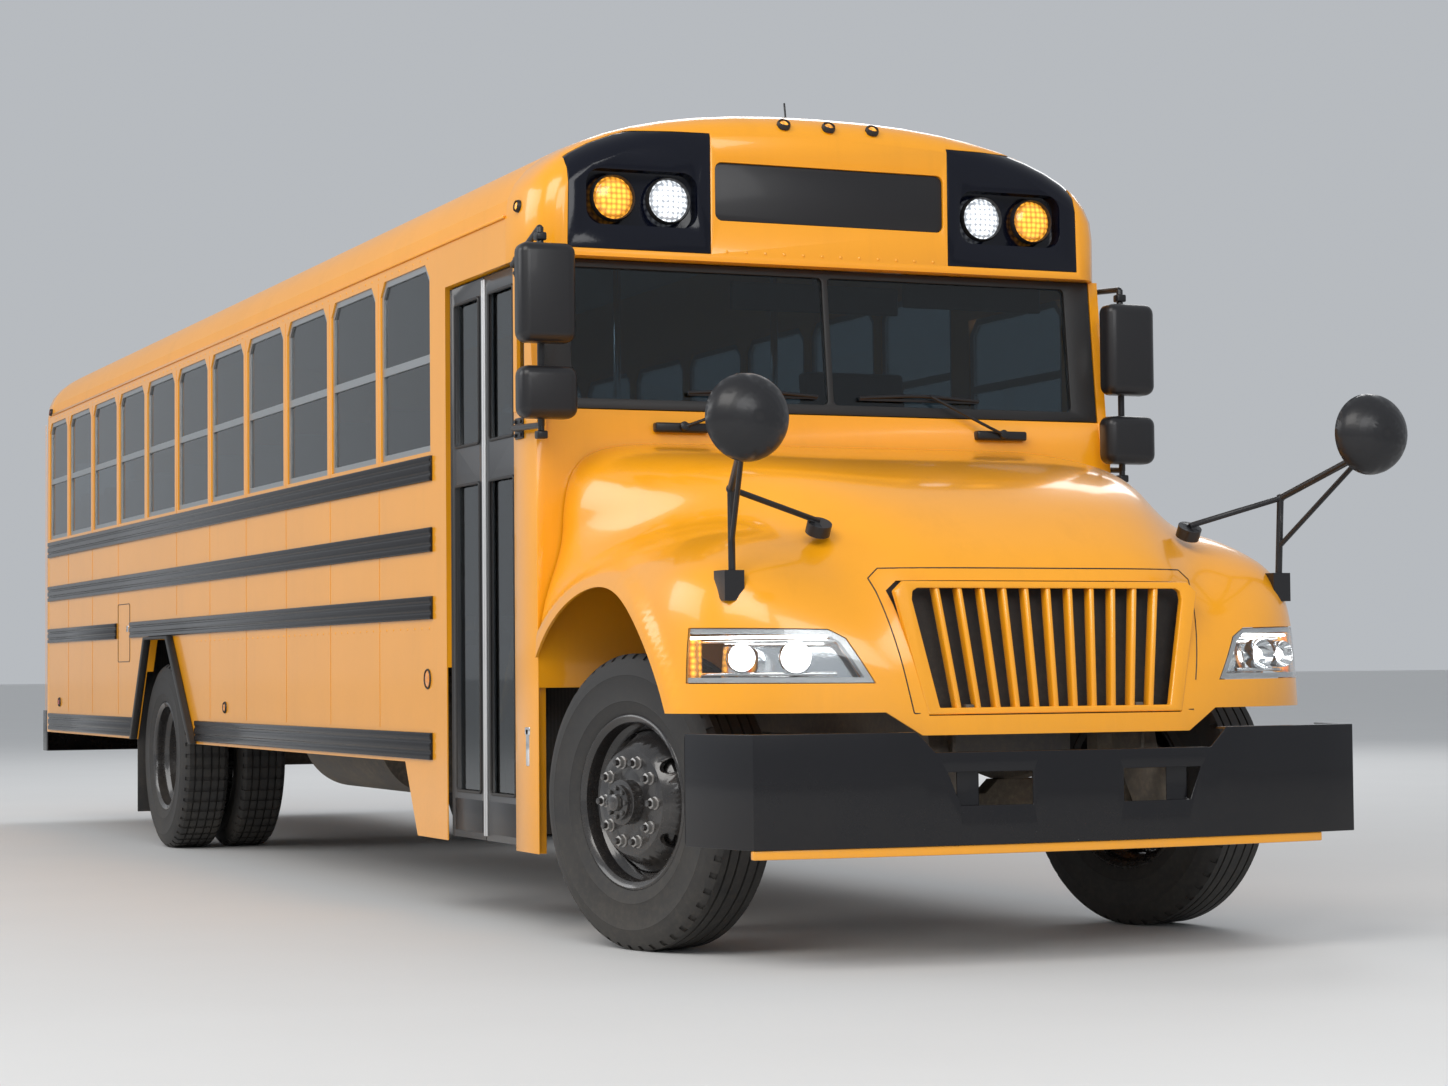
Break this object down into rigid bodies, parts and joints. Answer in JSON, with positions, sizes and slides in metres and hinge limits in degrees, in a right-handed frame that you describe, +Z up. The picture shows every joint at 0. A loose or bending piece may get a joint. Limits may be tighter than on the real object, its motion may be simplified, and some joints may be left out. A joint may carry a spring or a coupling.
{
  "type": "school bus",
  "caption": "Full-length school bus with a tilting hood, twin-leaf entrance door, rear exit door, stop arm, steered front wheels and twin rear wheels.",
  "frame": {"origin": "on the ground, at the middle of the whole bus's length and width", "axes": "+X towards the front, +Y towards the left side, +Z up"},
  "size_m": [11.909, 2.726, 3.16],
  "materials": {
    "yellow_paint": "school bus yellow enamel, lightly dusty",
    "black_paint": "semi-gloss black",
    "chassis_black": "satin black with road dirt",
    "wheel_black": "gloss black",
    "tyre_rubber": "matte black rubber",
    "rubber": "black rubber",
    "engine_iron": "painted casting",
    "exhaust_steel": "heat-stained steel",
    "floor_covering": "ribbed black floor",
    "black_plastic": "moulded black",
    "lamp_panel": "gloss blue-black",
    "lamp_lens": "clear lens over bright diodes",
    "headlamp_lens": "clear",
    "window_glass": "tinted",
    "sash_aluminium": "satin anodised",
    "seat_vinyl": "dark blue vinyl",
    "door_charcoal": "charcoal satin",
    "sign_red": "red reflective",
    "hatch_white": "off-white"
  },
  "bodies": {
    "bus": {"chassis_frame": "chassis_black", "front_bumper": "black_paint", "bumper_strip": "yellow_paint", "rear_bumper": "black_paint", "engine_block": "engine_iron", "radiator": "black_plastic", "drive_shaft": "chassis_black", "fuel_tank": "chassis_black", "exhaust_pipe": "exhaust_steel", "front_axle": "chassis_black", "rear_axle": "chassis_black", "leaf_springs": "chassis_black", "mud_flaps": "rubber", "floor": "floor_covering", "step_well": "floor_covering", "cowl": "yellow_paint", "left_side_wall": "yellow_paint", "right_side_wall": "yellow_paint", "roof": "yellow_paint", "front_cap": "yellow_paint", "rear_wall": "yellow_paint", "windshield_frame": "rubber", "windshield_glass": "window_glass", "side_window_frames": "sash_aluminium", "side_window_glass": "window_glass", "rub_rails": "black_paint", "arch_trims": "rubber", "lamp_panels": "lamp_panel", "signal_lamps": "lamp_lens", "destination_sign": "black_plastic", "rearview_mirrors": "black_plastic", "passenger_seats": "seat_vinyl", "driver_seat": "seat_vinyl", "dashboard": "black_plastic", "roof_hatches": "hatch_white"},
    "hood": {"hood": "yellow_paint", "grille": "yellow_paint", "headlights": "headlamp_lens", "crossview_mirrors": "black_plastic"},
    "front_leaf": {"front_door_leaf": "door_charcoal", "front_leaf_glass": "window_glass"},
    "rear_leaf": {"rear_door_leaf": "door_charcoal", "rear_leaf_glass": "window_glass"},
    "rear_exit": {"rear_door": "yellow_paint", "rear_door_glass": "window_glass"},
    "stop_sign": {"stop_arm": "sign_red"},
    "left_steer": {"left_knuckle": "chassis_black"},
    "right_steer": {"right_knuckle": "chassis_black"},
    "front_left": {"front_left_wheel": "wheel_black", "front_left_tyre": "tyre_rubber"},
    "front_right": {"front_right_wheel": "wheel_black", "front_right_tyre": "tyre_rubber"},
    "rear_left": {"rear_left_wheels": "wheel_black", "rear_left_tyres": "tyre_rubber"},
    "rear_right": {"rear_right_wheels": "wheel_black", "rear_right_tyres": "tyre_rubber"}
  },
  "joints": [
    {"name": "left_steering", "type": "hinge", "parent": "bus", "child": "left_steer", "pos_m": [4.6445, 0.87, 0.515], "axis": [0, 0, 1], "range_deg": [-53, 23]},
    {"name": "right_steering", "type": "hinge", "parent": "bus", "child": "right_steer", "pos_m": [4.6445, -0.87, 0.515], "axis": [0, 0, 1], "range_deg": [-53, 23]},
    {"name": "front_left_spin", "type": "hinge", "parent": "left_steer", "child": "front_left", "pos_m": [4.60697, 1.01006, 0.515], "axis": [-0.2588, 0.9659, 0], "continuous": true},
    {"name": "front_right_spin", "type": "hinge", "parent": "right_steer", "child": "front_right", "pos_m": [4.68203, -1.01006, 0.515], "axis": [-0.2588, 0.9659, 0], "continuous": true},
    {"name": "rear_left_spin", "type": "hinge", "parent": "bus", "child": "rear_left", "pos_m": [-2.3555, 1.055, 0.515], "axis": [0, 1, 0], "continuous": true},
    {"name": "rear_right_spin", "type": "hinge", "parent": "bus", "child": "rear_right", "pos_m": [-2.3555, -1.055, 0.515], "axis": [0, 1, 0], "continuous": true},
    {"name": "hood_tilt", "type": "hinge", "parent": "bus", "child": "hood", "pos_m": [5.6895, 0, 0.775], "axis": [0, 1, 0], "range_deg": [0, 75]},
    {"name": "front_leaf_hinge", "type": "hinge", "parent": "bus", "child": "front_leaf", "pos_m": [3.7695, -1.195, 1.4], "axis": [0, 0, 1], "range_deg": [0, 90]},
    {"name": "rear_leaf_hinge", "type": "hinge", "parent": "bus", "child": "rear_leaf", "pos_m": [2.9495, -1.195, 1.4], "axis": [0, 0, -1], "range_deg": [0, 90]},
    {"name": "rear_exit_hinge", "type": "hinge", "parent": "bus", "child": "rear_exit", "pos_m": [-5.73781, -0.475, 1.7], "axis": [0.0605, 0, 0.9982], "range_deg": [0, 110]},
    {"name": "stop_sign_hinge", "type": "hinge", "parent": "bus", "child": "stop_sign", "pos_m": [2.5945, 1.253, 1.662], "axis": [0, 0, -1], "range_deg": [0, 90]}
  ],
  "couplings": [
    {"joint": "right_steering", "follows": "left_steering", "ratio": 1},
    {"joint": "rear_leaf_hinge", "follows": "front_leaf_hinge", "ratio": 1}
  ]
}
